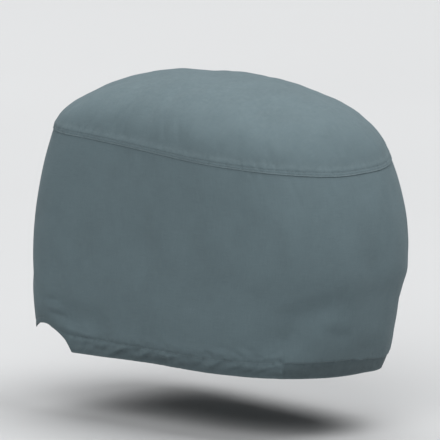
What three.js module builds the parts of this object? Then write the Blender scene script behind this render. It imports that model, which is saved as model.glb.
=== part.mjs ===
// A fitted cloth cover for the cowl of a large outboard motor, as it hangs on the cowl.
// Millimetres. +X points aft, +Y to starboard, +Z up. The origin is under the crown, where the cowl
// carries the cover. Heights here are measured up from the lowest hem instead, and toPart() moves each
// finished point to the part's frame.
import * as THREE from 'three';

// ---- driving dimensions -------------------------------------------------------------------------
const HEM_TO_MOUNT = 640;     // from the lowest hem up to the underside of the crown
const CLOTH = 2;              // thickness of the coated cloth with its turned edges
const SEAM_GAP = 0.3;         // between the skirt and the crown along the shoulder seam
const MIDDLE = 72;            // where the middle of the plan lies, aft of the origin
const HALF_LENGTH = 446;      // half of the cover's greatest length
const TAPER = 0.08;           // how much wider the front end is, and narrower the rear, than the middle
const CORNER_POWER = 2.3;     // squareness of the plan's corners; 2 would be a true ellipse
const BAND = 39;              // height of the gathered hem casing, stitched along its upper edge

// The plan at each height: its front and rear ends, half of its width, how far the front corners reach
// along and across it, and how far forward the round rear end begins.
const SECTIONS = [
  { height: 0, front: -369, rear: 466, half: 246, corner: 115, bow: 322 },
  { height: 40, front: -371, rear: 473, half: 256, corner: 117, bow: 324 },
  { height: 140, front: -373, rear: 494, half: 268, corner: 122, bow: 328 },
  { height: 250, front: -372, rear: 520, half: 271, corner: 130, bow: 330 },
  { height: 340, front: -367, rear: 517, half: 269, corner: 136, bow: 328 },
  { height: 430, front: -357, rear: 492, half: 261, corner: 142, bow: 320 },
  { height: 520, front: -340, rear: 450, half: 246, corner: 150, bow: 306 },
];

// The runs of the plan, in order round the cover from the middle of the front by way of the port side.
// Each has its length on the cover's widest line, and places "along" the cover are counted in these.
const RUNS = [
  { name: 'frontPort', length: 150 },
  { name: 'cornerPort', length: 225 },
  { name: 'sidePort', length: 432 },
  { name: 'bowPort', length: 480 },
  { name: 'bowStarboard', length: 480 },
  { name: 'sideStarboard', length: 432 },
  { name: 'cornerStarboard', length: 225 },
  { name: 'frontStarboard', length: 150 },
];
const AROUND = RUNS.reduce((sum, run) => sum + run.length, 0);

// Half of the hem line, from the middle of the front: raised over the rigging, with one scallop round
// the corner, then down a steep edge to the long straight side. The starboard half mirrors it.
const HEM_LINE = [
  { along: 0, height: 60 },
  { along: 150, height: 50 },
  { along: 268, height: 42 },
  { along: 282, height: 49 },
  { along: 317, height: 58 },
  { along: 346, height: 62 },
  { along: 362, height: 60 },
  { along: 373, height: 54 },
  { along: 389, height: 45 },
  { along: 402, height: 36 },
  { along: 412, height: 25 },
  { along: 423, height: 0 },
];

// Half of the shoulder seam, where the skirt meets the crown: lower at the rear than at the front.
const SEAM_LINE = [
  { along: 0, height: 519 },
  { along: 80, height: 519 },
  { along: 420, height: 516 },
  { along: 900, height: 495 },
  { along: 1200, height: 480 },
  { along: AROUND / 2, height: 479 },
];

// Soft troughs pressed into the skirt, each on a straight line from one place and height to another,
// fading over its width to both sides. A negative depth is a ridge.
const FOLDS = [
  { name: 'portCornerFold', along: 1262, height: 254, toAlong: 1196, toHeight: 196, width: 40, depth: 6 },
  { name: 'portCornerBend', along: 1150, height: 168, toAlong: 1096, toHeight: 146, width: 34, depth: 5 },
  { name: 'portCornerFoot', along: 1080, height: 118, toAlong: 1076, toHeight: 84, width: 32, depth: 4 },
  { name: 'portCornerSwell', along: 1160, height: 118, toAlong: 1112, toHeight: 66, width: 36, depth: -4 },
  { name: 'rearDimple', along: 1152, height: 121, toAlong: 1220, toHeight: 104, width: 16, depth: 3 },
  { name: 'portMiddleFold', along: 560, height: 420, toAlong: 800, toHeight: 170, width: 75, depth: 4 },
  { name: 'frontPull', along: 340, height: 124, toAlong: 400, toHeight: 128, width: 20, depth: 3 },
  { name: 'frontTuck', along: 348, height: 90, toAlong: 440, toHeight: 82, width: 18, depth: 3 },
  { name: 'rearSag', along: 1250, height: 340, toAlong: 1330, toHeight: 150, width: 50, depth: 4 },
  { name: 'starboardBowPull', along: 1650, height: 400, toAlong: 1560, toHeight: 120, width: 48, depth: 6 },
  { name: 'starboardFold', along: 1760, height: 350, toAlong: 1930, toHeight: 100, width: 66, depth: 6 },
  { name: 'starboardFront', along: 2150, height: 330, toAlong: 2060, toHeight: 90, width: 55, depth: 4 },
  { name: 'frontFold', along: 2470, height: 420, toAlong: 2520, toHeight: 140, width: 55, depth: 4 },
];

// The hem casing: drawn up in gathers along the sides, and turned under the cowl's overhang at the rear.
const CASING = {
  begins: 398,        // where it starts, along the port half
  full: 424,          // where it has its full relief
  groove: 3,          // how deep its stitching pulls in
  grooveWidth: 6,
  roll: 3,            // how far the cloth bulges over the stitching
  rollAbove: 17,      // from the stitching up to the middle of the bulge
  rollWidth: 14,
  gather: 1.5,        // how far the gathers stand in and out
  tuckFrom: 1046,     // where the turn-under starts, along the port half
  tuckFull: 1070,
  tuck: 14,           // how far the edge is turned in there
};

// The crown's rings turn from the plan of its rim into ovals that reach as far as this from the origin.
const CROWN_REACH = { front: 345, rear: 440, side: 240 };
const CROWN_POWER = 2.8;      // squareness of the crown's profile
const RIM_TURN = 0.13;        // how far round that profile the rim already is, as a share of a quarter turn

// The mesh's rings, as heights above the hem, shares of the way to the seam, and shares of the crown.
const HEM_RINGS = [0, 7, 20, BAND - 4, BAND, BAND + 9, BAND + 20];
const SKIRT_RINGS = [0.08, 0.18, 0.3, 0.43, 0.57, 0.71, 0.86, 1];
const CROWN_RINGS = [0, 0.1, 0.22, 0.36, 0.52, 0.7, 0.87];

// The mesh's columns: how far apart they are at most, up to each place from the middle of the front.
const COLUMN_SPANS = [
  { to: 150, step: 30 },
  { to: 375, step: 17 },
  { to: 402, step: 14 },
  { to: 412, step: 10 },
  { to: 423, step: 11 },
  { to: 807, step: 27 },
  { to: 1046, step: 24 },
  { to: 1070, step: 12 },
  { to: 1504, step: 24 },
  { to: 1528, step: 12 },
  { to: 2151, step: 30 },
  { to: 2162, step: 11 },
  { to: 2228, step: 22 },
  { to: 2424, step: 22 },
  { to: AROUND, step: 30 },
];

const CLOTH_LOOK = { color: 0x59686d, roughness: 0.85, metalness: 0 };

// ---- tables and curves --------------------------------------------------------------------------

/** Which row of a table a place falls after, leaving room for the row that follows. */
function rowBefore(rows, key, place) {
  let row = 0;
  while (row < rows.length - 2 && place > rows[row + 1][key]) row += 1;
  return row;
}

/** A table's column at a place, on straight lines between the rows. */
function straightValue(rows, key, column, place) {
  const row = rowBefore(rows, key, place);
  const [from, to] = [rows[row], rows[row + 1]];
  const share = THREE.MathUtils.clamp((place - from[key]) / (to[key] - from[key]), 0, 1);
  return THREE.MathUtils.lerp(from[column], to[column], share);
}

/** A table's column at a place, on a smooth curve through the rows. */
function smoothValue(rows, key, column, place) {
  const row = rowBefore(rows, key, place);
  const slope = (a, b) => (rows[b][column] - rows[a][column]) / (rows[b][key] - rows[a][key]);
  const span = rows[row + 1][key] - rows[row][key];
  const t = THREE.MathUtils.clamp((place - rows[row][key]) / span, 0, 1);
  const startSlope = slope(Math.max(row - 1, 0), row + 1) * span;
  const endSlope = slope(row, Math.min(row + 2, rows.length - 1)) * span;
  const start = (1 - t) ** 2 * ((1 + 2 * t) * rows[row][column] + t * startSlope);
  const end = t * t * ((3 - 2 * t) * rows[row + 1][column] - (1 - t) * endSlope);
  return start + end;
}

/** Sine and cosine of a share of a quarter turn, squared off by a power as a superellipse is. */
function roundedQuarter(share, power) {
  const turn = (share * Math.PI) / 2;
  return [Math.sin(turn), Math.cos(turn)].map((value) => Math.max(value, 0) ** (2 / power));
}

/** A soft bump: 1 at its middle, fading over its width on both sides. */
const bump = (distance, width) => Math.exp(-((distance / width) ** 2));

/** The matching place on the port half, for the lines that the starboard half mirrors. */
const onPortHalf = (along) => Math.min(along, AROUND - along);
const hemHeight = (along) => straightValue(HEM_LINE, 'along', 'height', onPortHalf(along));
const seamHeight = (along) => smoothValue(SEAM_LINE, 'along', 'height', onPortHalf(along));

// ---- the skirt's surface ------------------------------------------------------------------------

/** The plain cover, without folds, at a place round it and a height. */
function plainPoint(along, height) {
  const [front, rear, half, corner, bow] = ['front', 'rear', 'half', 'corner', 'bow']
    .map((column) => smoothValue(SECTIONS, 'height', column, height));
  let rest = THREE.MathUtils.euclideanModulo(along, AROUND);
  let run = 0;
  while (rest >= RUNS[run].length) {
    rest -= RUNS[run].length;
    run += 1;
  }
  const share = rest / RUNS[run].length;
  const [rising, falling] = roundedQuarter(share, CORNER_POWER);
  const { lerp } = THREE.MathUtils;
  const sideStart = front + corner;
  const sideEnd = rear - bow;
  const [x, y] = {
    frontPort: [front, -share * (half - corner)],
    cornerPort: [sideStart - falling * corner, corner - half - rising * corner],
    sidePort: [lerp(sideStart, sideEnd, share), -half],
    bowPort: [sideEnd + rising * bow, -falling * half],
    bowStarboard: [sideEnd + falling * bow, rising * half],
    sideStarboard: [lerp(sideEnd, sideStart, share), half],
    cornerStarboard: [sideStart - rising * corner, half - corner + falling * corner],
    frontStarboard: [front, (1 - share) * (half - corner)],
  }[RUNS[run].name];
  const narrowing = 1 - (TAPER * (x - MIDDLE)) / HALF_LENGTH;
  return new THREE.Vector3(x, y * narrowing, height);
}

/** The direction straight out of the plain cover. */
function outward(along, height) {
  const step = 2;
  const across = plainPoint(along + step, height).sub(plainPoint(along - step, height));
  const upward = plainPoint(along, height + step).sub(plainPoint(along, height - step));
  return across.cross(upward).normalize();
}

/** The level direction out of the plain cover, in which the skirt's thickness is measured. */
function levelOutward(along, height) {
  return outward(along, height).setZ(0).normalize();
}

/** How far all the folds together press the skirt in. */
function foldDepth(along, height) {
  return FOLDS.reduce((sum, fold) => {
    const run = fold.toAlong - fold.along;
    const rise = fold.toHeight - fold.height;
    const share = ((along - fold.along) * run + (height - fold.height) * rise) / (run * run + rise * rise);
    const nearest = THREE.MathUtils.clamp(share, 0, 1);
    const distance = Math.hypot(along - fold.along - nearest * run, height - fold.height - nearest * rise);
    return sum + fold.depth * bump(distance, fold.width);
  }, 0);
}

/** How far the hem casing and the cloth over it stand in from the plain skirt. */
function casingDepth(along, aboveHem) {
  const place = onPortHalf(along);
  const present = THREE.MathUtils.smoothstep(place, CASING.begins, CASING.full);
  const tucked = THREE.MathUtils.smoothstep(place, CASING.tuckFrom, CASING.tuckFull);
  const groove = CASING.groove * bump(aboveHem - BAND, CASING.grooveWidth);
  const roll = CASING.roll * bump(aboveHem - BAND - CASING.rollAbove, CASING.rollWidth);
  const tuck = tucked * CASING.tuck * Math.max(0, 1 - aboveHem / BAND);
  const wave = Math.sin(along / 17) + 0.7 * Math.sin(along / 11.3 + 1);
  const gathers = (1 - tucked) * CASING.gather * wave * bump(aboveHem - BAND / 2, BAND / 2);
  return present * (groove - roll + tuck + gathers);
}

/** The outside of the skirt at a place round the cover and a height. */
function skirtPoint(along, height) {
  const depth = foldDepth(along, height) + casingDepth(along, height - hemHeight(along));
  return plainPoint(along, height).addScaledVector(outward(along, height), -depth);
}

// ---- the crown's surface ------------------------------------------------------------------------

/** The outside of the crown: share 0 is its rim on the shoulder seam, and 1 its highest point. */
function crownPoint(along, share) {
  const rim = skirtPoint(along, seamHeight(along));
  const [rimRise, rimReach] = roundedQuarter(RIM_TURN, CROWN_POWER);
  const [rise, reach] = roundedQuarter(RIM_TURN + (1 - RIM_TURN) * share, CROWN_POWER);
  const ends = rim.x > 0 ? CROWN_REACH.rear : CROWN_REACH.front;
  const toOval = 1 / Math.hypot(rim.x / ends, rim.y / CROWN_REACH.side);
  const rounding = THREE.MathUtils.lerp(1, toOval, THREE.MathUtils.smoothstep(share, 0, 0.8));
  const inset = (reach / rimReach) * rounding;
  const lift = (rise - rimRise) / (1 - rimRise);
  const top = HEM_TO_MOUNT + CLOTH;
  return new THREE.Vector3(rim.x * inset, rim.y * inset, THREE.MathUtils.lerp(rim.z, top, lift));
}

// ---- meshes -------------------------------------------------------------------------------------

/** Places of the mesh's columns round the cover. */
function columnPlaces() {
  const places = [];
  let start = 0;
  for (const span of COLUMN_SPANS) {
    const count = Math.ceil((span.to - start) / span.step);
    for (let i = 0; i < count; i += 1) places.push(start + ((span.to - start) * i) / count);
    start = span.to;
  }
  return places;
}

const toPart = (point) => [point.x, point.y, point.z - HEM_TO_MOUNT];

/**
 * A closed cloth shell. outer and inner are rings of points, from the lowest ring up. Without a peak the
 * shell is open at its top, with a rim there; with one, its last ring closes to the peak's two points.
 */
function clothShell(outer, inner, peak) {
  const count = outer[0].length;
  const last = (outer.length - 1) * count;
  const innerStart = outer.length * count;
  const points = [...outer.flat(), ...inner.flat()];
  const faces = [];
  const quad = (a, b, c, d) => faces.push(a, b, c, a, c, d);
  for (let column = 0; column < count; column += 1) {
    const next = (column + 1) % count;
    for (let low = 0; low < last; low += count) {
      const high = low + count;
      quad(low + column, low + next, high + next, high + column);
      const [innerLow, innerHigh] = [innerStart + low, innerStart + high];
      quad(innerLow + next, innerLow + column, innerHigh + column, innerHigh + next);
    }
    quad(innerStart + column, innerStart + next, next, column);
    if (peak) {
      const outerPeak = points.length;
      faces.push(last + column, last + next, outerPeak);
      faces.push(innerStart + last + next, innerStart + last + column, outerPeak + 1);
    } else {
      quad(last + column, last + next, innerStart + last + next, innerStart + last + column);
    }
  }
  if (peak) points.push(peak.outer, peak.inner);
  const geometry = new THREE.BufferGeometry();
  geometry.setAttribute('position', new THREE.Float32BufferAttribute(points.flatMap(toPart), 3));
  geometry.setIndex(faces);
  geometry.computeVertexNormals();
  return geometry;
}

/** The skirt: sides, front and rear in one round, with the hem casing along its lower edge. */
function skirtGeometry(places) {
  const heightAt = (along, ring) => {
    const hem = hemHeight(along);
    if (ring < HEM_RINGS.length) return hem + HEM_RINGS[ring];
    const bandTop = hem + HEM_RINGS[HEM_RINGS.length - 1];
    const seam = seamHeight(along) - SEAM_GAP / 2;
    return THREE.MathUtils.lerp(bandTop, seam, SKIRT_RINGS[ring - HEM_RINGS.length]);
  };
  const rings = [...HEM_RINGS, ...SKIRT_RINGS].map((_, ring) => ring);
  const outer = rings.map((ring) => places.map((along) => skirtPoint(along, heightAt(along, ring))));
  const inner = rings.map((ring) => places.map((along, column) => {
    const away = levelOutward(along, heightAt(along, ring));
    return outer[ring][column].clone().addScaledVector(away, -CLOTH);
  }));
  return clothShell(outer, inner, null);
}

/** The crown: one domed panel over the top. Its thickness turns from level at the rim to upright. */
function crownGeometry(places) {
  const outer = CROWN_RINGS.map((share) => places.map((along) => {
    const point = crownPoint(along, share);
    return point.setZ(point.z + SEAM_GAP / 2);
  }));
  const inner = CROWN_RINGS.map((share, ring) => places.map((along, column) => {
    const upright = Math.min(share * 4, 1);
    const away = levelOutward(along, seamHeight(along)).multiplyScalar(1 - upright).setZ(upright).normalize();
    return outer[ring][column].clone().addScaledVector(away, -CLOTH);
  }));
  const underside = new THREE.Vector3(0, 0, HEM_TO_MOUNT);
  const top = new THREE.Vector3(0, 0, HEM_TO_MOUNT + CLOTH);
  return clothShell(outer, inner, { outer: top, inner: underside });
}

/** A named piece of cloth. */
function clothPiece(name, geometry) {
  const mesh = new THREE.Mesh(geometry, new THREE.MeshStandardMaterial(CLOTH_LOOK));
  mesh.name = name;
  return mesh;
}

const places = columnPlaces();
const cover = new THREE.Group();
cover.add(clothPiece('skirt', skirtGeometry(places)));
cover.add(clothPiece('crown', crownGeometry(places)));

export default cover;
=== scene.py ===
"""The looks of a fitted cloth cover for the cowl of a large outboard motor.

Sizes are in millimetres until a mesh is made. +X points aft, +Y to starboard and +Z up. "along" is a
place round the cover, counted from the middle of the front by way of the port side, and heights are
measured up from the lowest hem. A positive depth is pressed in, and a negative one stands out.
"""
import math
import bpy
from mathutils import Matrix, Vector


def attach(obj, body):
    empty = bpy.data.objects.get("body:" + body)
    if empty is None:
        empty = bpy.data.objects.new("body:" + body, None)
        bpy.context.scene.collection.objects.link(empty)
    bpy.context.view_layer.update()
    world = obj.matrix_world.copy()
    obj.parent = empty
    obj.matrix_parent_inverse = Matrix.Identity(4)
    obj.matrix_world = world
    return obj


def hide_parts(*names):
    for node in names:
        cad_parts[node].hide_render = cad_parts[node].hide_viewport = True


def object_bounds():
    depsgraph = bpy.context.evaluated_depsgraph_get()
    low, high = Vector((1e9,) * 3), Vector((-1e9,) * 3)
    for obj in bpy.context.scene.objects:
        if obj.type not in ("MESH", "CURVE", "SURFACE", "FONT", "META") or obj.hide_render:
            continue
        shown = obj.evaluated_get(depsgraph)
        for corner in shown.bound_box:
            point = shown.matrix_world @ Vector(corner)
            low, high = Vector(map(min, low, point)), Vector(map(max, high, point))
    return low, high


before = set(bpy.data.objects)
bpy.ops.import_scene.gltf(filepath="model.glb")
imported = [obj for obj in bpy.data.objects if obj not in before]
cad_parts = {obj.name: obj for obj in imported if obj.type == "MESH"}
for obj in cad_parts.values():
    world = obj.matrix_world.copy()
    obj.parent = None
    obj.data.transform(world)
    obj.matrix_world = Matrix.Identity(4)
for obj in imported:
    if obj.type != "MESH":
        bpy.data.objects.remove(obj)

from types import SimpleNamespace as Sizes

import bpy
import numpy as np
from mathutils import Vector

CAD_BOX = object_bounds()
MM = 0.001


def table(names, *rows):
    """A short table with named columns."""
    return dict(zip(names.split(), np.array(rows, float).T))


# ---- the cover's cut, as the solids have it ----

HEM_TO_MOUNT = 640       # from the lowest hem up to the underside of the crown
SOLID_CLOTH = 2          # thickness of the solids' cloth
MIDDLE = 72              # where the middle of the plan lies, aft of the origin
HALF_LENGTH = 446        # half of the cover's greatest length
TAPER = 0.08             # how much wider the front end is, and narrower the rear, than the middle
CORNER_POWER = 2.3       # squareness of the plan's corners
BAND = 39                # height of the gathered hem casing

# The plan at each height: its ends, half of its width, the front corners' reach, and the rear bow's.
SECTIONS = table(
    "height front rear half corner bow",
    (0, -369, 466, 246, 115, 322),
    (40, -371, 473, 256, 117, 324),
    (140, -373, 494, 268, 122, 328),
    (250, -372, 520, 271, 130, 330),
    (340, -367, 517, 269, 136, 328),
    (430, -357, 492, 261, 142, 320),
    (520, -340, 450, 246, 150, 306),
)
# Half of the way round: the front, the corner, the side, and the bow round the rear.
RUNS = np.array([150, 225, 432, 480], float)
RUN_STARTS = np.cumsum(RUNS) - RUNS
HALF_AROUND = RUNS.sum()
AROUND = 2 * HALF_AROUND

HEM_LINE = table(
    "along height",
    (0, 60), (150, 50), (268, 42), (282, 49), (317, 58), (346, 62),
    (362, 60), (373, 54), (389, 45), (402, 36), (412, 25), (423, 0),
)
SEAM_LINE = table(
    "along height",
    (0, 519), (80, 519), (420, 516), (900, 495), (1200, 480), (HALF_AROUND, 479),
)
# The stitching along the casing's top: it starts at the scallop's rear corner and runs down to the band.
STITCH_LINE = table(
    "along height",
    (358, 61), (372, 56), (390, 49), (410, 43.5), (436, 40), (470, BAND), (1040, BAND), (1074, 41.5),
    (1256, 42), (HALF_AROUND, 38),
)

# Soft troughs from one place to another, as on the skirt's solid, fading over their width.
TROUGH = "along height to_along to_height width depth"
FOLDS = table(
    TROUGH,
    (1262, 254, 1196, 196, 40, 6),  # the long fold across the port rear corner, its bend and its foot
    (1150, 168, 1096, 146, 34, 5),
    (1080, 118, 1076, 84, 32, 4),
    (1160, 118, 1112, 66, 36, -4),  # the swell inside its bend
    (1152, 121, 1220, 104, 16, 3),  # dimple at the rear
    (560, 420, 800, 170, 75, 4),    # faint fold down the port side
    (340, 124, 400, 128, 20, 3),    # pull at the port front corner
    (348, 90, 440, 82, 18, 3),      # tuck over the front end of the casing
    (1250, 340, 1330, 150, 50, 4),  # sag in the middle of the rear
    (1650, 400, 1560, 120, 48, 6),  # pull on the starboard bow
    (1760, 350, 1930, 100, 66, 6),  # long fold on the starboard side
    (2150, 330, 2060, 90, 55, 4),   # fold behind the starboard front corner
    (2470, 420, 2520, 140, 55, 4),  # fold down the front
)
CROWN_REACH = Sizes(front=345, rear=440, side=240)
CROWN_POWER = 2.8        # squareness of the crown's profile
RIM_TURN = 0.13          # how far round that profile the rim already is, as a share of a quarter turn
OVAL_FROM = 0.8          # the share of the way up from which the crown's outline is an oval

# ---- the cloth's finer sizes ----

CLOTH = 1.1              # thickness of one layer
FINE = 1024              # columns of points round the cover where the cloth is gathered
FINE_TOP = 76            # how far above the hem they reach
FINE_STEP = 2.4          # from one row of points to the next there
COARSE_STEP = 11         # and over the rest of the skirt
TOP_EDGE = (1, 0.994, 0.986)    # close rows at its top edge, as shares of the way up
TURNED_ROWS = 10         # rows up the back of the casing
BACK_ROWS = 40           # and from there up to the top edge
BACK_START = 0.012       # the first of them, as a share of that way

LAP = 10                 # how far the crown's edge laps down over the skirt
LAP_STITCHES = (2.6, 8.4)    # its two rows of stitches, from its edge
LAP_ROWS = (LAP, 9.2, 8.4, 7.4, 6, 4.6, 3.4, 2.6, 1.6, 0.7, 0.15)    # rows of points on its face
UNDER_LAP_ROWS = (0.2, 5, LAP)    # and on its back
LAP_LIFT = Sizes(
    turned=0.9, turned_fades=14,    # what its turned-in edge adds, fading over so much above the lap
    cloth_fades=16,                 # and over how much its own thickness fades
    groove=0.6, groove_width=1.5,   # its stitching pulls in
    gap=0.25, round=0.25,           # what is left below it, and how far its edge is rounded out
)
CLOSING = Sizes(
    lap=12, stitches=(2.6, 9.2),    # the lapped closing seam at the middle of the front
    rise=1.3, crisp=1.2, soft=7,    # how far it stands out, and how wide its two sides are
    groove=0.5, groove_width=1.8,
    low=66, high=508,               # the heights between which it is sewn
)
FRONT_HEM = 12           # the narrow hem along the raised front
FRONT_LOOK = Sizes(
    fades=340, ends=366,            # where it passes over into the casing
    groove=0.9, groove_width=3,
    edge=0.7, edge_width=4,         # its edge stands out
)
LEDGE = 2                # how far over its stitching a turned-up hem reaches
HEM_EDGE = 2.2           # thickness of the hem's folded edge
CASING_EDGE = 0.8        # and how much thicker it is along the casing
EDGE_TURNS = (0.3, 0.7)  # rows of points round an edge, as shares of the way round
STITCH = Sizes(pitch=3.6, length=2.8, width=0.85)
CASING_STITCHES = 366    # how far from the middle of the front the casing's stitches start
FRONT_STITCHES = 350     # and the front hem's end

CASING = Sizes(
    begins=372, full=424,           # where its relief starts and is full, along the port half
    groove=2.6, groove_width=4.0,   # the stitching pulls in
    gathered=900, groove_lost=0.6,  # from where, and how far, it is lost among gathers
    roll=2.8, roll_above=15, roll_width=12,    # the cloth bulges over it,
    roll_first=0.4, roll_lost=0.9,  # less at the front, and hardly where it is turned under
    belly=1.6,                      # the band between stitching and edge
    lean=7, curl=7, lean_full=690,  # how far its edge leans and curls in, and from where in full
    tuck_from=1048, tuck_full=1062,    # the rear, where it is turned under:
    tuck=16, step=2.8,              # how far in all, and at once below its upper edge,
    step_from=-1.5, step_full=4,    # between these depths below it,
    tuck_bend=0.65,                 # and how much of the rest comes towards its lower edge;
    loose=0.65, loose_from=1310, loose_full=1380,    # less so round the starboard quarter,
    narrower=12, narrow_from=1257, narrow_full=1372,    # where the band is narrower too,
    even_from=1160, even_full=1040,    # until, on the starboard half, it is as on the port side
    bulk=3.4,                       # its filling of turned cloth and cord, behind it
)

# Where the cloth is rubbed pale, as shares of full wear.
WEAR = Sizes(
    ridge=2.5, ridge_most=0.7,      # on ridges, by how high they are
    hem=0.8, hem_width=2.5,         # along the hem's edge
    lap=0.9, lap_under=0.7, lap_fade=1.5,    # and the crown's
    top=0.25, top_from=0.05, top_full=0.5,    # on the crown, by the share of the way up,
    seam=0.3, seam_above=8, seam_width=12,    # and along its seam
)
# Where the cloth is darkened, by dust and by painted shade, as shares of a full coat.
DUST_AND_SHADE = Sizes(
    trough=3, trough_most=0.35,     # dust and painted shade in troughs, by how deep they are
    hem=0.36, hem_height=36,        # dust and painted shade over the hem,
    rear=0.22, rear_height=50,      # more painted shade, reaching higher, at the rear,
    rear_from=1008, rear_full=1197,
    corner=0.3, corner_height=34,   # painted shade behind the front corners
    corner_at=350, corner_width=70,
    back=0.3, edge=0.2,             # on the back of the casing and round the hem's edge
    soot_lost=0.7,                  # painted shade on the turned-under band, less at its upper edge,
    soot_from=-2, soot_ends=1.5,    # which is soft between these heights
)

# Creases listed one by one, finer than the folds, fading to both ends.
CREASES = table(
    TROUGH,
    (1310, 296, 1150, 156, 38, -6.2),  # the long fold, softer at the rear and broad at the port quarter
    (1226, 190, 1040, 138, 30, 3.2),
    (1126, 168, 990, 136, 27, 4.8),
    (970, 80, 1118, 104, 28, 6.0),     # its foot, over the end of the casing
    (972, 106, 1120, 114, 26, 3.2),
    (910, 48, 1150, 58, 28, 2.8),      # which comes out slowly below
    (1206, 138, 1070, 40, 38, 4.4),    # and the swell inside its bend, levelled
    (1136, 136, 1262, 120, 13, -1.3),  # the ridge inside its bend
    (1450, 190, 1226, 184, 28, 2.2),   # the level shade behind it
    (1270, 240, 1600, 216, 24, -3.4),  # the swell over that, round the starboard quarter
    (1158, 119, 1212, 106, 6, 0.8),    # the short dark crease at the rear
    (1214, 58, 1400, 44, 34, 5),       # slack that sinks in over the turned-under hem
    (338, 121, 428, 118, 7, 3.1),      # level creases behind the port front corner
    (352, 136, 424, 133, 8, -1.7),
    (350, 90, 436, 77, 8, 3.8),
    (346, 102, 410, 100, 7, -1.4),
    (362, 65, 540, 44, 7, -3.2),       # the ridge that runs off the casing's front end
    (392, 102, 590, 60, 34, 9.0),      # the hollow over it
    (410, 74, 480, 68, 9, 1.4),
    (300, 100, 350, 74, 10, 1.4),      # pulls to the scallop
    (282, 92, 300, 60, 9, 1.2),
    (846, 58, 882, 46, 6, 2.2),        # slack creases that fall to the rear over the stitching
    (880, 74, 944, 56, 8, 2.0),
    (918, 64, 962, 42, 7, 2.6),
    (898, 66, 938, 48, 6, -1.4),
    (926, 82, 990, 58, 7, 1.6),
    (948, 92, 1010, 66, 8, -1.2),
    (922, 31, 950, 33, 9, 2.4),        # round pucker in the casing
    (1024, 46, 1056, 28, 6, -1.8),     # crossed ridges before the turned-under stretch
    (1026, 29, 1052, 43, 6, -1.8),
    (1000, 34, 1022, 22, 7, 1.8),
    (578, 4, 680, 40, 9, 3.0),         # the casing's longest troughs and ridges
    (612, 2, 700, 30, 7, -2.2),
    (700, 4, 782, 42, 9, 3.0),
    (650, 4, 730, 34, 7, 2.4),
    (806, 4, 884, 40, 8, 2.8),
    (836, 4, 900, 30, 7, -2.0),
    (506, 6, 598, 36, 8, 2.0),
    (530, 2, 606, 26, 6, -1.8),
    (440, 8, 520, 34, 7, 2.2),
    (900, 2, 960, 32, 8, 2.8),
    (700, 66, 764, 56, 8, 1.2),
    (990, 52, 1046, 66, 7, 1.4),
    (930, 214, 1004, 168, 20, 1.2),    # faint shade on the port quarter
    (640, 300, 700, 120, 34, 1.2),
    (1420, 230, 1510, 100, 17, 3.2),   # soft folds on the starboard side
    (1540, 180, 1470, 70, 15, 2.8),
    (1670, 400, 1580, 170, 20, 4.0),
    (1620, 250, 1560, 110, 14, 2.6),
    (1660, 120, 1800, 74, 13, 3.2),
    (1740, 360, 1900, 140, 24, 4.0),
    (1790, 220, 1930, 84, 17, 3.4),
    (1960, 96, 2090, 64, 12, 2.8),
    (2140, 330, 2060, 120, 20, 3.4),
    (2150, 116, 2240, 122, 8, 2.4),    # pulls behind the starboard front corner
    (2132, 80, 2226, 92, 8, 2.8),
    (2100, 57, 2204, 68, 7, -1.8),
    (2034, 84, 2156, 112, 28, 4.6),    # and the hollow over them
    (2300, 420, 2240, 240, 22, 2.6),   # soft folds over the front
    (2490, 430, 2520, 160, 22, 3.0),
    (2420, 300, 2380, 110, 20, 2.6),
    (110, 360, 60, 130, 22, 3.0),
    (200, 260, 290, 130, 20, 2.8),
)

# Wrinkles drawn by chance, on each half: between which places, how far apart, between which heights, at
# what angle to the level, give or take how much, and how long, wide and deep they may be.
FAMILY = "first last spacing low high angle swing length width depth"
WRINKLES = table(
    FAMILY,
    (440, 1046, 17, 8, 30, 21, 8, 74, 7.5, 2.4),     # the casing's twisted troughs
    (440, 1046, 21, 10, 30, 23, 9, 60, 6.5, -1.7),   # and ridges
    (440, 1060, 10, 33, 46, 72, 30, 22, 3.2, 1.9),   # pinches through its stitching
    (720, 1060, 26, 44, 62, -18, 22, 56, 7, 1.7),    # slack that falls to the rear over it
    (440, 760, 40, 46, 64, 6, 24, 66, 8, 1.1),
    (440, 1060, 8, 1, 38, 30, 30, 20, 2.6, 0.8),     # fine crumple
    (1080, 1280, 30, 8, 34, 8, 18, 60, 7, 0.9),      # the turned-under rear stays smooth
    (1070, 1280, 17, 34, 46, 70, 34, 18, 3, 1.0),
    (20, 350, 26, 66, 80, 80, 40, 22, 4, 0.7),       # the raised front's hem
    (380, 1280, 80, 90, 220, 40, 50, 120, 16, 1.0),  # faint ripples over the skirt
    (0, 1280, 120, 220, 420, 70, 40, 170, 26, 1.4),
)
# The same at the shoulder seam, with heights counted from the seam.
SEAM_WRINKLES = table(
    FAMILY,
    (140, 400, 14, -12, 10, 88, 20, 50, 5.6, 1.7),   # eased cloth round the front corners
    (800, 1280, 17, -12, 10, 90, 20, 50, 6, 1.5),    # and round the rear
    (400, 800, 27, -10, 8, 92, 24, 42, 6, 1.1),
    (10, 140, 26, -10, 8, 88, 24, 42, 6, 1.1),
    (10, 1280, 74, 30, 80, 86, 30, 120, 14, 1.9),    # long soft ones up over the crown
    (10, 1280, 92, -80, -30, 88, 30, 110, 14, 1.4),  # and down the skirt
)
# Broad folds over the crown, from one point of the plan to another.
CROWN_FOLDS = table(
    "x y to_x to_y width depth",
    (330, -150, 140, -50, 34, 4.2),
    (360, 120, 190, 60, 32, 3.8),
    (-250, -140, -110, -70, 32, 3.6),
    (-260, 150, -80, 70, 34, 4.0),
    (60, -60, -80, 30, 46, 2.4),
    (300, 20, 200, -10, 28, -2.0),
    (10, -210, 44, -120, 22, 2.8),
    (165, -205, 118, -100, 24, 3.0),
    (-150, -200, -112, -128, 20, 2.4),
    (90, 205, 30, 110, 24, 3.0),
    (-90, 200, -120, 120, 22, 2.6),
)

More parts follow.
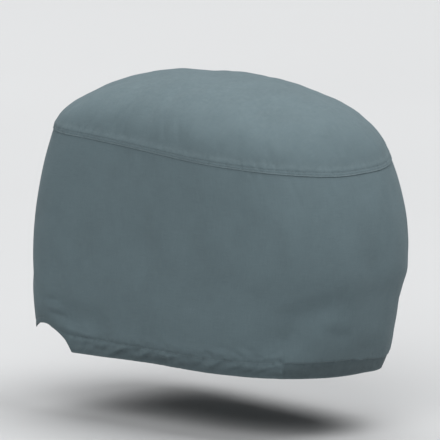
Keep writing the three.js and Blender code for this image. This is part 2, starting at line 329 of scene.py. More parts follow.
# How the wrinkles drawn by chance vary in place and size, as shares of what their table says.
VARIED = Sizes(place=(-0.4, 0.4), length=(0.45, 1), width=(0.7, 1.1), depth=(0.3, 1))
CHANCE = np.random.default_rng(20)

CREASE_ENDS = 0.4        # how much of a crease's length each of its ends takes to fade
BUMP_REACH = 3           # how many widths from its middle a bump has all but gone

# Waves of slack: how many go round, the height over which each turns by a radian, its start and depth.
SWAYS = table(
    "waves height start depth",
    (5, 88, 0.4, 0.7),
    (11, -61, 1.9, 0.49),
    (23, 37, 0.8, 0.35),
)


# ---- tables and curves ----

def smooth_value(rows, key, column, place):
    """A table's column at places, on a smooth curve through the rows."""
    at, value = rows[key], rows[column]
    row = np.clip(np.searchsorted(at, place) - 1, 0, len(at) - 2)
    before, after = np.maximum(row - 1, 0), np.minimum(row + 2, len(at) - 1)
    span = at[row + 1] - at[row]
    t = np.clip((place - at[row]) / span, 0, 1)
    start_slope = (value[row + 1] - value[before]) / (at[row + 1] - at[before]) * span
    end_slope = (value[after] - value[row]) / (at[after] - at[row]) * span
    start = (1 - t) ** 2 * ((1 + 2 * t) * value[row] + t * start_slope)
    end = t * t * ((3 - 2 * t) * value[row + 1] - (1 - t) * end_slope)
    return start + end


def smoothstep(value, low, high):
    t = np.clip((value - low) / (high - low), 0, 1)
    return t * t * (3 - 2 * t)


def bump(distance, width):
    """A soft bump: 1 at its middle, fading over its width on both sides."""
    return np.exp(-((distance / width) ** 2))


def rounded_quarter(share, power):
    """Sine and cosine of a share of a quarter turn, squared off by a power as a superellipse is."""
    turn = np.clip(share, 0, 1) * math.pi / 2
    return np.sin(turn) ** (2 / power), np.clip(np.cos(turn), 0, 1) ** (2 / power)


def unit(vectors):
    return vectors / np.maximum(np.linalg.norm(vectors, axis=-1, keepdims=True), 1e-9)


def points_of(x, y, z):
    return np.stack(np.broadcast_arrays(x, y, z), -1)


def on_port_half(along):
    """The matching place on the port half, for the lines that the starboard half mirrors."""
    along = along % AROUND
    return np.minimum(along, AROUND - along)


def hem_height(along):
    port = on_port_half(along)
    return np.where(port < HEM_LINE["along"][-1], smooth_value(HEM_LINE, "along", "height", port), 0)


def seam_height(along):
    return smooth_value(SEAM_LINE, "along", "height", on_port_half(along))


def stitch_height(along):
    """The upper edge of the casing."""
    port = np.maximum(on_port_half(along), STITCH_LINE["along"][0])
    narrow = smoothstep(along, CASING.narrow_from, CASING.narrow_full)
    narrow = narrow * smoothstep(AROUND - along, CASING.even_full, CASING.even_from)
    return smooth_value(STITCH_LINE, "along", "height", port) - CASING.narrower * narrow


# ---- the skirt's surface ----

def plain(along, height):
    """The plain cover, without folds."""
    columns = ("front", "rear", "half", "corner", "bow")
    front, rear, half, corner, bow = (smooth_value(SECTIONS, "height", c, height) for c in columns)
    port = on_port_half(along)
    side = np.where(along % AROUND < HALF_AROUND, -1, 1)
    shares = [np.clip((port - start) / run, 0, 1) for start, run in zip(RUN_STARTS, RUNS)]
    corner_rise, corner_fall = rounded_quarter(shares[1], CORNER_POWER)
    bow_rise, bow_fall = rounded_quarter(shares[3], CORNER_POWER)
    side_start, side_end = front + corner, rear - bow
    runs = [port < start for start in RUN_STARTS[1:]]
    x = np.select(
        runs,
        [front, side_start - corner_fall * corner, side_start + shares[2] * (side_end - side_start)],
        side_end + bow_rise * bow,
    )
    y = np.select(
        runs,
        [shares[0] * (half - corner), half - corner + corner_rise * corner, half],
        bow_fall * half,
    )
    narrowing = 1 - TAPER * (x - MIDDLE) / HALF_LENGTH
    return points_of(x, side * y * narrowing, height)


def outward(along, height):
    """The direction straight out of the plain cover."""
    step = 2
    across = plain(along + step, height) - plain(along - step, height)
    upward = plain(along, height + step) - plain(along, height - step)
    return unit(np.cross(across, upward))


def pressed(rows, along, height, fading):
    """How deep a table's troughs are at places. They fade to both sides, and fading ones to both ends."""
    depth = np.zeros(np.shape(along))
    for start, low, to_along, to_height, width, deep in zip(*rows.values()):
        run, rise = to_along - start, to_height - low
        past = (along - start + HALF_AROUND) % AROUND - HALF_AROUND
        near = np.abs(past - run / 2) < abs(run) / 2 + BUMP_REACH * width
        past, up = past[near], height[near] - low
        share = np.clip((past * run + up * rise) / (run**2 + rise**2), 0, 1)
        away = np.hypot(past - share * run, up - share * rise)
        ends = smoothstep(share, 0, CREASE_ENDS) * smoothstep(1 - share, 0, CREASE_ENDS) if fading else 1
        depth[near] += deep * ends * bump(away, width)
    return depth


def drawn(families):
    """Wrinkles drawn by chance for each row of a table of families, on both halves."""
    rows = []
    for first, last, spacing, low, high, angle, swing, length, width, depth in zip(*families.values()):
        count = round((last - first) / spacing)
        for starboard in (False, True):
            centre = first + (np.arange(count) + 0.5 + CHANCE.uniform(*VARIED.place, count)) * spacing
            height = CHANCE.uniform(low, high, count)
            turn = np.radians(angle + CHANCE.uniform(-swing, swing, count))
            size = CHANCE.uniform(*VARIED.length, count)
            run, rise = np.cos(turn) * length * size / 2, np.sin(turn) * length * size / 2
            wide = width * CHANCE.uniform(*VARIED.width, count)
            deep = depth * CHANCE.uniform(*VARIED.depth, count)
            start, end = centre - run, centre + run
            if starboard:
                start, end = AROUND - start, AROUND - end
            rows.append([start, height - rise, end, height + rise, wide, deep])
    return dict(zip(TROUGH.split(), np.concatenate(rows, 1)))


SKIRT_WRINKLES = drawn(WRINKLES)
SEAM_PUCKERS = drawn(SEAM_WRINKLES)


def casing_depth(along, height):
    """The hem casing, and the cloth that bulges over its stitching."""
    port = on_port_half(along)
    present = smoothstep(port, CASING.begins, CASING.full)
    tucked = smoothstep(port, CASING.tuck_from, CASING.tuck_full)
    gathered = smoothstep(port, CASING.full, CASING.gathered)
    above = height - stitch_height(along)
    groove = CASING.groove * (1 - CASING.groove_lost * gathered) * bump(above, CASING.groove_width)
    roll = CASING.roll * (CASING.roll_first + (1 - CASING.roll_first) * gathered)
    roll = roll * (1 - CASING.roll_lost * tucked)
    roll = roll * bump(above - CASING.roll_above, CASING.roll_width)
    hem = hem_height(along)
    down = 1 - np.clip((height - hem) / (stitch_height(along) - hem), 0, 1)
    belly = CASING.belly * (1 - tucked) * np.sin(math.pi * down)
    step = CASING.step * tucked * smoothstep(-above, CASING.step_from, CASING.step_full)
    turned = smoothstep(port, CASING.full, CASING.lean_full) * (1 - tucked)
    edge = turned * (CASING.lean * down + CASING.curl * down**2)
    loose = CASING.loose * smoothstep(along, CASING.loose_from, CASING.loose_full)
    loose = loose * smoothstep(AROUND - along, CASING.tuck_full, CASING.even_from)
    bent = down * (1 - CASING.tuck_bend + CASING.tuck_bend * down)
    tuck = (CASING.tuck - CASING.step) * tucked * bent * (1 - loose)
    return present * (groove * (1 - tucked) - roll - belly + edge + step + tuck)


def front_hem_depth(along, height):
    """The narrow hem along the raised front: its stitching pulls in, and its edge stands out a little."""
    look = FRONT_LOOK
    present = 1 - smoothstep(on_port_half(along), look.fades, look.ends)
    above = height - hem_height(along)
    groove = look.groove * bump(above - FRONT_HEM, look.groove_width)
    return present * (groove - look.edge * (1 - smoothstep(above, look.edge_width, FRONT_HEM)))


def closing_seam_depth(along):
    """The lapped closing seam at the middle of the front. Its edge is crisp and its other side soft."""
    past = (along + HALF_AROUND) % AROUND - HALF_AROUND + CLOSING.lap / 2
    lap = smoothstep(past, -CLOSING.crisp, CLOSING.crisp)
    lap = lap * (1 - smoothstep(past, CLOSING.lap, CLOSING.lap + CLOSING.soft))
    grooves = sum(bump(past - row, CLOSING.groove_width) for row in CLOSING.stitches)
    return CLOSING.groove * grooves - CLOSING.rise * lap


def sway(along, height):
    """Broad, barely visible unevenness of cloth that hangs on a smooth cowl."""
    turn = 2 * math.pi * along / AROUND
    rows = zip(*SWAYS.values())
    return sum(deep * np.sin(waves * turn + height / rise + start) for waves, rise, start, deep in rows)


def base_depth(along, height):
    """All that shapes the skirt and is carried on under the crown's edge."""
    return pressed(FOLDS, along, height, False) + sway(along, height) + closing_seam_depth(along)


def fine_depth(along, height):
    """The casing, the creases and the wrinkles."""
    wrinkles = pressed(CREASES, along, height, True) + pressed(SKIRT_WRINKLES, along, height, True)
    return casing_depth(along, height) + front_hem_depth(along, height) + wrinkles


def skirt_point(along, height, behind=0):
    """The skirt's face, or a place so far behind it."""
    along, height = np.broadcast_arrays(along, np.asarray(height, float))
    pucker = pressed(SEAM_PUCKERS, along, height - seam_height(along), True)
    depth = base_depth(along, height) + fine_depth(along, height) + pucker + behind
    return plain(along, height) - outward(along, height) * depth[..., None]


# ---- the crown's surface ----

def crown_base(along, share):
    """The crown as its solid has it: share 0 is the rim on the shoulder seam, and 1 the highest point."""
    seam = seam_height(along)
    rim = plain(along, seam) - outward(along, seam) * base_depth(along, seam)[..., None]
    rim_rise, rim_reach = rounded_quarter(RIM_TURN, CROWN_POWER)
    rise, reach = rounded_quarter(RIM_TURN + (1 - RIM_TURN) * share, CROWN_POWER)
    ends = np.where(rim[..., 0] > 0, CROWN_REACH.rear, CROWN_REACH.front)
    to_oval = 1 / np.hypot(rim[..., 0] / ends, rim[..., 1] / CROWN_REACH.side)
    rounding = 1 + (to_oval - 1) * smoothstep(share, 0, OVAL_FROM)
    inset = reach / rim_reach * rounding
    lift = (rise - rim_rise) / (1 - rim_rise)
    top = HEM_TO_MOUNT + SOLID_CLOTH
    return points_of(rim[..., 0] * inset, rim[..., 1] * inset, rim[..., 2] + (top - rim[..., 2]) * lift)


def crown_outward(along, share):
    """The direction straight out of the crown."""
    aside, up = 2, 0.004
    across = crown_base(along + aside, share) - crown_base(along - aside, share)
    upward = crown_base(along, share + up) - crown_base(along, np.maximum(share - up, 0))
    return unit(np.cross(across, upward))


def lap_lift(from_edge):
    """How far the crown's face stands over the surface below it, by the distance from its edge."""
    cloth = CLOTH * (1 - smoothstep(from_edge, LAP, LAP + LAP_LIFT.cloth_fades))
    turned = LAP_LIFT.turned * (1 - smoothstep(from_edge, LAP, LAP + LAP_LIFT.turned_fades))
    grooves = sum(bump(from_edge - row, LAP_LIFT.groove_width) for row in LAP_STITCHES)
    return cloth + turned - LAP_LIFT.groove * grooves


def lap_point(along, from_edge, behind=0):
    """The crown's edge, where it laps over the skirt."""
    along, from_edge = np.broadcast_arrays(along, np.asarray(from_edge, float))
    below = from_edge - LAP
    height = seam_height(along) + below
    depth = base_depth(along, height) + pressed(SEAM_PUCKERS, along, below, True)
    return plain(along, height) - outward(along, height) * (depth - lap_lift(from_edge) + behind)[..., None]


def crown_point(along, share, above_seam, behind=0):
    """The crown's face over the shoulder seam, or a place so far behind it."""
    base = crown_base(along, share)
    depth = pressed(SEAM_PUCKERS, along, above_seam, True) - lap_lift(above_seam + LAP) + behind
    for x, y, to_x, to_y, width, deep in zip(*CROWN_FOLDS.values()):
        run, rise = to_x - x, to_y - y
        nearest = np.clip(((base[..., 0] - x) * run + (base[..., 1] - y) * rise) / (run**2 + rise**2), 0, 1)
        away = np.hypot(base[..., 0] - x - nearest * run, base[..., 1] - y - nearest * rise)
        depth = depth + deep * bump(away, width)
    settled = sway(base[..., 0] * 2, base[..., 1] * 2) * smoothstep(above_seam, 20, 80)
    return base - crown_outward(along, share) * (depth + settled)[..., None]


# ---- meshes ----

def new_mesh(name, points, faces):
    """A smooth mesh of points that are in millimetres over the lowest hem."""
    made = bpy.data.meshes.new(name)
    made.from_pydata(((points - [0, 0, HEM_TO_MOUNT]) * MM).tolist(), [], faces)
    made.polygons.foreach_set("use_smooth", np.ones(len(made.polygons), bool))
    return made


def new_piece(name, made):
    """The object that shows a mesh."""
    made.update()
    piece = bpy.data.objects.new(name, made)
    bpy.context.scene.collection.objects.link(piece)
    return piece


class Skin:
    """A closed surface made of rings of points round the cover, one row after another. A point has its
    place on the flat cloth, its wear, its dust and painted shade, and whether it is inside."""

    def __init__(self):
        self.points, self.facts, self.faces = [], [], []
        self.count = 0
        self.first = self.last = None

    def add(self, points, cloth, wear=0.0, grime=0.0, inside=0.0):
        """Adds points and returns their numbers."""
        spread = [np.broadcast_to(np.asarray(v, float), (len(points),)) for v in (wear, grime, inside)]
        self.points.append(points)
        self.facts.append(np.column_stack([np.asarray(cloth, float), *spread]))
        self.count += len(points)
        return np.arange(self.count - len(points), self.count)

    def row(self, *values, **facts):
        """Adds a row and joins it to the one before."""
        ring = self.add(*values, **facts)
        if self.last is None:
            self.first = ring
        else:
            self.join(self.last, ring)
        self.last = ring

    def join(self, ring, after):
        """Fills the strip between two rings, of which one may have twice the other's points."""
        if len(ring) == len(after):
            self.faces += np.column_stack([ring, after, np.roll(after, -1), np.roll(ring, -1)]).tolist()
            return
        few, many = sorted((ring, after), key=len)
        start, middle, end = many[::2], many[1::2], np.roll(many, -2)[::2]
        few_next = np.roll(few, -1)
        corners = [(few, start, middle), (few, middle, few_next), (few_next, middle, end)]
        for triangle in corners:
            order = triangle if many is after else triangle[::-1]
            self.faces += np.column_stack(order).tolist()

    def pole(self, point, inside=0.0):
        """Adds a single point at the middle of the flat cloth and returns its number."""
        return self.add(np.array([point], float), [(0, 0)], inside=inside)[0]

    def fan(self, ring, pole):
        """Closes a ring to a single point."""
        self.faces += np.column_stack([ring, np.full(len(ring), pole), np.roll(ring, -1)]).tolist()

    def mesh(self, name, around):
        """The finished object. Around is how far its cloth runs before it meets itself, if it does."""
        made = new_mesh(name, np.concatenate(self.points), self.faces)
        facts = np.concatenate(self.facts)
        loops = np.empty(len(made.loops), np.int32)
        made.loops.foreach_get("vertex_index", loops)
        starts = np.empty(len(made.polygons), np.int32)
        made.polygons.foreach_get("loop_start", starts)
        sizes = np.diff(np.append(starts, len(loops)))
        cloth = facts[loops, :2].copy()
        if around:
            furthest = np.repeat(np.maximum.reduceat(cloth[:, 0], starts), sizes)
            cloth[:, 0] += np.where(furthest - cloth[:, 0] > around / 2, around, 0)
        layer = made.attributes.new("cloth", "FLOAT_VECTOR", "CORNER")
        layer.data.foreach_set("vector", np.column_stack([cloth * MM, cloth[:, 0] * 0]).ravel())
        for column, fact in ((2, "wear"), (3, "grime"), (4, "inside")):
            layer = made.attributes.new(fact, "FLOAT", "POINT")
            layer.data.foreach_set("value", facts[:, column].copy())
        made.validate()
        return new_piece(name, made)


def places(step):
    """The columns' places round the cover."""
    return np.arange(0, FINE, step) * AROUND / FINE


def skirt_facts(along, height):
    """Where the skirt's cloth is worn pale, and where it is darkened by dust and by painted shade."""
    port = on_port_half(along)
    hem, band_top = hem_height(along), stitch_height(along)
    above = height - hem
    relief = pressed(SKIRT_WRINKLES, along, height, True)
    wear = np.clip(-relief / WEAR.ridge, 0, WEAR.ridge_most)
    wear = wear + WEAR.hem * bump(above, WEAR.hem_width)
    # Dust and painted shade over the hem; the painted shade is more, and reaches higher, at the rear.
    at_rear = smoothstep(port, DUST_AND_SHADE.rear_from, DUST_AND_SHADE.rear_full)
    low_dust_and_shade = DUST_AND_SHADE.hem + DUST_AND_SHADE.rear * at_rear
    low_dust_and_shade = low_dust_and_shade * bump(above, DUST_AND_SHADE.hem_height + DUST_AND_SHADE.rear_height * at_rear)
    # Painted shade behind the front corners, low over the hem.
    corner_shade = DUST_AND_SHADE.corner * bump(port - DUST_AND_SHADE.corner_at, DUST_AND_SHADE.corner_width)
    corner_shade = corner_shade * bump(above, DUST_AND_SHADE.corner_height)
    # Painted shade on the turned-under band at the rear: darkest at its lower edge, fading up to its
    # stitching.
    turned_under_shade = smoothstep(port, CASING.tuck_from, CASING.tuck_full)
    turned_under_shade = turned_under_shade * (1 - smoothstep(height - band_top, DUST_AND_SHADE.soot_from, DUST_AND_SHADE.soot_ends))
    turned_under_shade = turned_under_shade * (1 - DUST_AND_SHADE.soot_lost * np.clip(above / (band_top - hem), 0, 1))
    # Dust and painted shade in troughs, by how deep they are.
    trough_dust_and_shade = DUST_AND_SHADE.trough_most * np.clip(relief / DUST_AND_SHADE.trough, 0, 1)
    # All that darkens the skirt: dust, and painted shade in troughs, over the hem, behind the front corners
    # and on the turned-under band.
    grime = trough_dust_and_shade + low_dust_and_shade + corner_shade + turned_under_shade
    return {"wear": np.clip(wear, 0, 1), "grime": np.clip(grime, 0, 1)}


def make_skirt():
    """Face, turned-up casing and back of the skirt in one closed skin, from its top edge down and up."""
    skin = Skin()

    def row(along, height, behind=0, **facts):
        skin.row(skirt_point(along, height, behind), np.column_stack([along, height]), **facts)

    coarse, fine = places(2), places(1)
    low = hem_height(coarse) + FINE_TOP
    top = seam_height(coarse)
    rows = round((top.mean() - low.mean()) / COARSE_STEP)
    shares = np.linspace(1, 0, rows, endpoint=False)
    for share in np.concatenate([TOP_EDGE, shares[1:]]):
        height = low + (top - low) * share
        row(coarse, height, **skirt_facts(coarse, height))
    hem = hem_height(fine)
    for above in np.arange(FINE_TOP, -0.01, -FINE_STEP):
        height = hem + max(above, 0)
        row(fine, height, **skirt_facts(fine, height))

    in_casing = smoothstep(on_port_half(fine), CASING.begins, CASING.full)
    edge = HEM_EDGE + CASING_EDGE * in_casing
    for turn in EDGE_TURNS:
        swing = turn * math.pi
        down = edge / 2 * math.sin(swing)
        face = skirt_point(fine, hem, edge / 2 * (1 - math.cos(swing)))
        face[:, 2] -= down
        skin.row(face, np.column_stack([fine, hem - down]), wear=WEAR.hem, grime=DUST_AND_SHADE.edge)
    ledge = FRONT_HEM + LEDGE + (BAND - FRONT_HEM) * in_casing
    for share in np.linspace(0, 1, TURNED_ROWS):
        above = ledge * share
        bulk = edge + CASING.bulk * in_casing * np.sin(math.pi * min(share * 1.02, 1)) ** 0.8
        back = skirt_point(fine, hem + above, bulk)
        skin.row(back, np.column_stack([fine, -above]), grime=DUST_AND_SHADE.back)
    row(fine, hem + ledge + 0.4, CLOTH, grime=DUST_AND_SHADE.back, inside=1)

    in_casing = smoothstep(on_port_half(coarse), CASING.begins, CASING.full)
    low = hem_height(coarse) + FRONT_HEM + 2 * LEDGE + (BAND - FRONT_HEM) * in_casing
    for share in np.linspace(BACK_START, 1, BACK_ROWS):
        row(coarse, low + (top - low) * share, CLOTH, inside=1)
    skin.join(skin.last, skin.first)
    return skin.mesh("skirt_cloth", AROUND)


# How far up the crown each row of points lies, from the seam, and which columns it has.
CROWN_STEPS = table(
    "to spacing step",
    (12, 2.4, 1), (30, 4.5, 1), (66, 7, 2), (210, 10, 2),
    (262, 10, 4), (292, 10, 8), (312, 9, 16), (330, 8, 32),
)


def length_along(line):
    """How far along a line of points each of them lies."""
    return np.concatenate([[0], np.cumsum(np.linalg.norm(np.diff(line, axis=0), axis=1))])


def crown_rows():
    """Each row's share of the way up the crown, measured on its port side, and its step."""
    port_side, left_open = 600.0, 6
    shares = np.linspace(0, 1, 900)
    length = length_along(crown_base(np.full(len(shares), port_side), shares))
    rows, at = [], 0.0
    for to, spacing, step in zip(*CROWN_STEPS.values()):
        to = min(to, length[-1] - left_open)
        while at + spacing <= to:
            at += spacing
            rows.append((float(np.interp(at, length, shares)), int(step)))
    return rows


def flat_crown(points, reach):
    """Places on the crown's cloth as cut: out from its middle by the distance over the dome."""
    return unit(points[:, :2]) * reach[:, None]


def make_crown():
    """Face and back of the crown in one closed skin, with its edge lapped over the skirt."""
    skin = Skin()
    rows = crown_rows()
    fine = places(1)
    # Distances over the dome, from the seam up and from the middle out.
    lengths = [np.zeros(FINE)]
    before = crown_base(fine, np.zeros(FINE))
    for share, _ in rows:
        here = crown_base(fine, np.full(FINE, share))
        lengths.append(lengths[-1] + np.linalg.norm(here - before, axis=1))
        before = here
    whole = lengths[-1] + np.hypot(before[:, 0], before[:, 1])
    middle = [0, 0, HEM_TO_MOUNT + SOLID_CLOTH]

    def domed(number, behind, inside):
        share, step = rows[number]
        along, above = fine[::step], lengths[number + 1][::step]
        face = crown_point(along, np.full(len(along), share), above, behind)
        cloth = flat_crown(face, whole[::step] - above)
        worn = WEAR.top * smoothstep(share, WEAR.top_from, WEAR.top_full)
        worn = worn + WEAR.seam * bump(above - WEAR.seam_above, WEAR.seam_width)
        skin.row(face, cloth, wear=0 if inside else worn, inside=inside)

    def lapped(from_edge, behind, wear, inside):
        face = lap_point(fine, from_edge, behind)
        skin.row(face, flat_crown(face, whole + LAP - from_edge), wear=wear, inside=inside)

    top = skin.pole(middle)
    for number in reversed(range(len(rows))):
        domed(number, 0, 0)
    for from_edge in LAP_ROWS:
        lapped(from_edge, 0, WEAR.lap * math.exp(-from_edge / WEAR.lap_fade), 0)
    edge = lap_lift(0) - LAP_LIFT.gap
    for turn, wear in zip(EDGE_TURNS, (WEAR.lap, WEAR.lap_under)):
        lapped(-LAP_LIFT.round, edge * turn, wear, 0)
    for from_edge in UNDER_LAP_ROWS:
        lapped(from_edge, lap_lift(from_edge) - LAP_LIFT.gap, 0, 1)
    for number in range(len(rows)):
        domed(number, CLOTH, 1)
    skin.fan(skin.last, skin.pole(np.subtract(middle, (0, 0, CLOTH)), inside=1))
    skin.fan(skin.first[::-1], top)
    return skin.mesh("crown_cloth", None)


# ---- stitching ----

def stitches(line, face):
    """Points and faces of the stitches on a line. Face is the direction out at each of its points."""
    length = length_along(line)
    count = int((length[-1] - STITCH.length) / STITCH.pitch)
    starts = (np.arange(count) + 0.5) * STITCH.pitch

    def at(values, place):
        return np.stack([np.interp(place, length, values[:, k]) for k in range(3)], -1)

    ends = [at(line, starts + shift) for shift in (0, STITCH.length)]
    up = unit(at(face, starts + STITCH.length / 2))
    run = ends[1] - ends[0]
    across = unit(np.cross(up, run))
    sides = 6
    # Along the stitch: how far along it, how thick and how high each ring of points is.
    rings = ((0.0, 0.35, -0.25), (0.2, 0.95, 0.2), (0.5, 1.0, 0.3), (0.8, 0.95, 0.2), (1.0, 0.35, -0.25))
    radius = STITCH.width / 2
    points = []
    for share, thick, lift in rings:
        for k in range(sides):
            turn = 2 * math.pi * k / sides
            middle = ends[0] + run * share + up * (lift * radius)
            swing = across * math.cos(turn) + up * (0.8 * math.sin(turn))
            points.append(middle + swing * (radius * thick))
    per = sides * len(rings)
    shape = []
    for ring in range(len(rings) - 1):
        for k in range(sides):
            a, b = ring * sides + k, ring * sides + (k + 1) % sides
            shape.append([a, b, b + sides, a + sides])
    shape.append(list(range(sides))[::-1])
    shape.append(list(range(per - sides, per)))
    points = np.stack(points, 1).reshape(-1, 3)
    faces = [[corner + per * number for corner in one] for number in range(count) for one in shape]
    return points, faces


def make_stitching(name, rows):
    """One object of several rows of stitches."""
    points, faces, start = [], [], 0
    for line, face in rows:
        made_points, made_faces = stitches(line, face)
        points.append(made_points)
        faces += [[corner + start for corner in one] for one in made_faces]
        start += len(made_points)
    return new_piece(name, new_mesh(name, np.concatenate(points), faces))


def skirt_stitch_rows():
    casing = np.arange(CASING_STITCHES, AROUND - CASING_STITCHES, 1.0)
    front = np.arange(-FRONT_STITCHES, FRONT_STITCHES, 1.0) % AROUND
    seam = np.arange(CLOSING.low, CLOSING.high, 1.0)
    lines = [(casing, stitch_height(casing)), (front, hem_height(front) + FRONT_HEM - 1)]
    lines += [(np.full(len(seam), row - CLOSING.lap / 2), seam) for row in CLOSING.stitches]
    return [(skirt_point(along, height), outward(along, height)) for along, height in lines]


def crown_stitch_rows():
    along = np.append(np.arange(0, AROUND, 1.0), AROUND - 0.01)
    out = [outward(along, seam_height(along) + row - LAP) for row in LAP_STITCHES]
    return [(lap_point(along, row), face) for row, face in zip(LAP_STITCHES, out)]


# ---- materials ----

class Nodes:
    """Short ways of adding nodes to a material."""

    def __init__(self, material):
        material.use_nodes = True
        self.tree = material.node_tree
        self.shader = self.tree.nodes["Principled BSDF"]

    def put(self, socket, value):
        if isinstance(value, bpy.types.NodeSocket):
            self.tree.links.new(value, socket)
        elif value is not None:
            socket.default_value = value

    def add(self, kind, *inputs, **settings):
        node = self.tree.nodes.new(kind)
        for key, value in settings.items():
            setattr(node, key, value)
        for socket, value in zip(node.inputs, inputs):
            self.put(socket, value)
        return node

    def math(self, operation, *inputs):
        return self.add("ShaderNodeMath", *inputs, operation=operation).outputs[0]

    def fact(self, name, output="Fac"):
        return self.add("ShaderNodeAttribute", attribute_name=name).outputs[output]

    def fill(self, node, inputs):
        """Sets a node's inputs by their names."""
        for name, value in inputs.items():
            self.put(node.inputs[name], value)
        return node

    def noise(self, where, scale, detail=3, roughness=0.5):
        inputs = {"Vector": where, "Scale": scale, "Detail": detail, "Roughness": roughness}
        return self.fill(self.add("ShaderNodeTexNoise"), inputs).outputs["Fac"]

    def stretched(self, where, scale):
        return self.add("ShaderNodeVectorMath", where, scale, operation="MULTIPLY").outputs[0]

    def ramp(self, value, low, high, to_low=0.0, to_high=1.0):
        return self.add("ShaderNodeMapRange", value, low, high, to_low, to_high).outputs[0]

    def mix(self, share, first, second, blend="MIX"):
        node = self.add("ShaderNodeMix", data_type="RGBA", blend_type=blend)
        for name, value in (("Factor_Float", share), ("A_Color", first), ("B_Color", second)):
            self.put(next(s for s in node.inputs if s.identifier == name), value)
        return next(s for s in node.outputs if s.identifier == "Result_Color")

    def bump(self, height, strength, distance, normal=None):
        inputs = {"Strength": strength, "Distance": distance, "Height": height, "Normal": normal}
        return self.fill(self.add("ShaderNodeBump"), inputs).outputs["Normal"]


THREAD_PITCH = 0.0011     # from one thread of the weave to the next, in metres
# Painted shade where the weave's threads dip under each other, and the cloth's colour on their tops.
THREAD_DIP_SHADE = (0.098, 0.138, 0.153, 1)
PALE_THREAD = (0.138, 0.188, 0.205, 1)
WORN = (0.24, 0.30, 0.315, 1)
# The colour of dust, and of painted shade in troughs, over the hem, behind the front corners and on the
# turned-under band.
GRIME_AND_SHADE_COLOUR = (0.062, 0.082, 0.088, 1)
SHEEN_TINT = (0.75, 0.86, 0.9, 1)
STRAND_GROOVE_SHADE, PALE_STRAND = (0.10, 0.135, 0.148, 1), (0.19, 0.235, 0.25, 1)    # of the sewing thread: painted shade in the grooves of its twist, and the colour of its strands
THREAD_GRIME = (0.08, 0.10, 0.11, 1)
FLOOR_SHADES = (0.50, 0.505, 0.51, 1), (0.53, 0.535, 0.54, 1)


def cloth_material(name):
    """Coated, plain-woven polyester in slate grey: threads with painted shade where they dip, uneven yarns,
    wear on the edges, and dust with painted shade.
    """
    material = bpy.data.materials.new(name)
    n = Nodes(material)
    cloth = n.fact("cloth", "Vector")
    split = n.add("ShaderNodeSeparateXYZ", n.stretched(cloth, (1 / THREAD_PITCH,) * 3))
    x, y = split.outputs[0], split.outputs[1]
    over = n.math("MODULO", n.math("ADD", n.math("FLOOR", x), n.math("FLOOR", y)), 2.0)
    over = n.math("ABSOLUTE", over)
    warp, weft = n.math("PINGPONG", x, 0.5), n.math("PINGPONG", y, 0.5)
    warp_top = n.math("MULTIPLY", warp, n.math("ADD", weft, 0.6))
    weft_top = n.math("MULTIPLY", weft, n.math("ADD", warp, 0.6))
    threads = n.math("ADD", n.math("MULTIPLY", warp_top, over),
                     n.math("MULTIPLY", weft_top, n.math("SUBTRACT", 1.0, over)))

    yarns = [n.noise(n.stretched(cloth, stretch), 1.0, 2) for stretch in ((900, 30, 1), (30, 900, 1))]
    yarns = n.math("ADD", *yarns)
    blotches = n.noise(cloth, 11.0, 4, 0.55)
    speckle = n.noise(cloth, 420.0, 2)
    # Painted shade where the threads dip, by their height.
    colour = n.mix(n.ramp(threads, 0.05, 0.5), THREAD_DIP_SHADE, PALE_THREAD)
    shade = n.math("ADD", n.ramp(yarns, 0.6, 1.4, 0.90, 1.10), n.ramp(blotches, 0.3, 0.7, -0.05, 0.05))
    shade = n.math("ADD", shade, n.ramp(speckle, 0.3, 0.7, -0.035, 0.035))
    grey = n.add("ShaderNodeCombineXYZ", shade, shade, shade).outputs[0]
    colour = n.mix(1.0, colour, grey, "MULTIPLY")
    rubbed = n.math("MULTIPLY", n.fact("wear"), n.ramp(n.noise(cloth, 90.0, 4, 0.65), 0.35, 0.7, 0.05, 0.5))
    colour = n.mix(rubbed, colour, WORN)
    # Dust and painted shade, from the grime attribute.
    dust_and_shade_share = n.math("MULTIPLY", n.fact("grime"), n.ramp(n.noise(cloth, 55.0, 4, 0.6), 0.3, 0.75, 0.55, 0.85))
    colour = n.mix(dust_and_shade_share, colour, GRIME_AND_SHADE_COLOUR)

    inside = n.fact("inside")
    rough = n.ramp(n.noise(cloth, 38.0, 3), 0.3, 0.7, 0.78, 0.92)
    rough = n.math("SUBTRACT", rough, n.math("MULTIPLY", inside, 0.25))
    relief = n.math("MULTIPLY", threads, n.ramp(inside, 0.0, 1.0, 1.0, 0.3))
    woven = n.bump(relief, 0.55, 0.00028)
    crumple = n.bump(n.noise(cloth, 150.0, 3, 0.6), 0.35, 0.0007, woven)
    normal = n.bump(yarns, 0.25, 0.0002, crumple)
    n.fill(n.shader, {"Base Color": colour, "Roughness": rough, "Normal": normal})
    n.fill(n.shader, {"Specular IOR Level": 0.26, "Sheen Weight": 0.06, "Sheen Roughness": 0.45})
    n.fill(n.shader, {"Sheen Tint": SHEEN_TINT})
    return material


def thread_material(name):
    """Twisted polyester sewing thread, a shade paler than the cloth, with painted shade in the grooves of
    its twist.
    """
    material = bpy.data.materials.new(name)
    n = Nodes(material)
    place = n.add("ShaderNodeTexCoord").outputs["Object"]
    twist = n.add("ShaderNodeTexWave", bands_direction="DIAGONAL")
    strands = n.fill(twist, {"Vector": place, "Scale": 900.0, "Distortion": 1.5}).outputs["Fac"]
    # Painted shade in the grooves of the twist, by their depth.
    colour = n.mix(n.ramp(strands, 0, 1), STRAND_GROOVE_SHADE, PALE_STRAND)
    colour = n.mix(n.ramp(n.noise(place, 60.0, 3), 0.3, 0.7, 0.0, 0.35), colour, THREAD_GRIME)
    n.fill(n.shader, {"Base Color": colour, "Normal": n.bump(strands, 0.5, 0.0002)})
    n.fill(n.shader, {"Roughness": 0.6, "Specular IOR Level": 0.4})
    return material


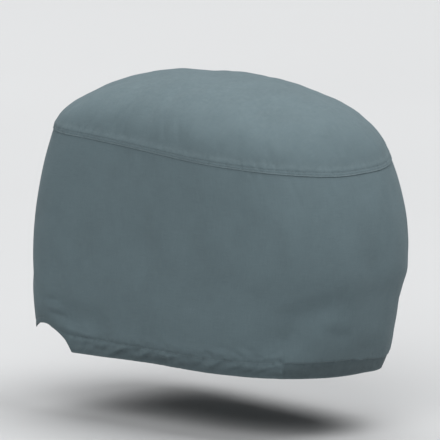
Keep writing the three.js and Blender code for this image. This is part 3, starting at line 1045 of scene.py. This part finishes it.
def floor_material():
    material = bpy.data.materials.new("pale_floor")
    n = Nodes(material)
    place = n.add("ShaderNodeTexCoord").outputs["Object"]
    colour = n.mix(n.noise(place, 0.6, 2), *FLOOR_SHADES)
    n.fill(n.shader, {"Base Color": colour, "Roughness": 0.9, "Specular IOR Level": 0.2})
    return material


# ---- studio ----

AZIMUTH, ELEVATION = math.radians(45), math.radians(10)
DISTANCE = 32.0           # far off, so that the view is nearly parallel
PICTURE = 1.012           # how much the picture shows across, at the cover
AIM_LEFT = 0.040          # the aim is this far to the left of the middle of the CAD's box
AIM_DOWN = 0.009          # and this far below it
FLOOR_GAP = 0.15          # from the lowest hem down to the floor
FLOOR_RADIUS = 60
SKY = 0.21                # the light from all round
SKY_COLOUR = (0.97, 0.985, 1.0, 1)
# Each lamp's azimuth, elevation and softness in degrees, and its strength.
LAMPS = (
    ("key", 32, 46, 40, 1.55),
    ("left", 345, 45, 40, 0.2),
    ("right", 124, 62, 40, 1.68),
    ("behind", 235, 62, 50, 1.5),
)


def looking(azimuth, elevation):
    """The direction from the cover towards a viewer or a lamp."""
    level = math.cos(elevation)
    return Vector((math.sin(azimuth) * level, -math.cos(azimuth) * level, math.sin(elevation)))


def make_camera():
    low, high = CAD_BOX
    back = looking(AZIMUTH, ELEVATION)
    right = Vector((math.cos(AZIMUTH), math.sin(AZIMUTH), 0))
    aim = (low + high) / 2 - right * AIM_LEFT - back.cross(right) * AIM_DOWN
    camera = bpy.data.objects.new("camera", bpy.data.cameras.new("camera"))
    camera.location = aim + back * DISTANCE
    camera.rotation_euler = (-back).to_track_quat("-Z", "Y").to_euler()
    camera.data.lens = camera.data.sensor_width * DISTANCE / PICTURE
    camera.data.clip_end = 200
    bpy.context.scene.collection.objects.link(camera)
    bpy.context.scene.camera = camera


def make_lamp(name, azimuth, elevation, softness, strength):
    """A broad far lamp that lights the whole studio evenly."""
    lamp = bpy.data.lights.new(name, "SUN")
    lamp.energy = strength
    lamp.angle = math.radians(softness)
    placed = bpy.data.objects.new(name, lamp)
    toward = looking(math.radians(azimuth), math.radians(elevation))
    placed.rotation_euler = (-toward).to_track_quat("-Z", "Y").to_euler()
    bpy.context.scene.collection.objects.link(placed)


def make_studio():
    low, _ = CAD_BOX
    world = bpy.data.worlds.new("studio")
    bpy.context.scene.world = world
    world.use_nodes = True
    background = world.node_tree.nodes["Background"]
    background.inputs["Color"].default_value = SKY_COLOUR
    background.inputs["Strength"].default_value = SKY
    bpy.ops.mesh.primitive_circle_add(vertices=96, radius=FLOOR_RADIUS, fill_type="NGON")
    floor = bpy.context.object
    floor.name = "floor"
    floor.location.z = low.z - FLOOR_GAP
    floor.data.materials.append(floor_material())
    for name, azimuth, elevation, softness, strength in LAMPS:
        make_lamp(name, azimuth, elevation, softness, strength)
    bpy.context.scene.view_settings.view_transform = "Standard"


make_camera()
make_studio()

cover_cloth = cloth_material("cover_cloth")
thread = thread_material("sewing_thread")
skirt = make_skirt()
crown = make_crown()
skirt_stitching = make_stitching("skirt_stitching", skirt_stitch_rows())
crown_stitching = make_stitching("crown_stitching", crown_stitch_rows())
for piece, material in (
    (skirt, cover_cloth), (crown, cover_cloth), (skirt_stitching, thread), (crown_stitching, thread),
):
    piece.data.materials.append(material)
    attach(piece, "root")
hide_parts("skirt")
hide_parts("crown")
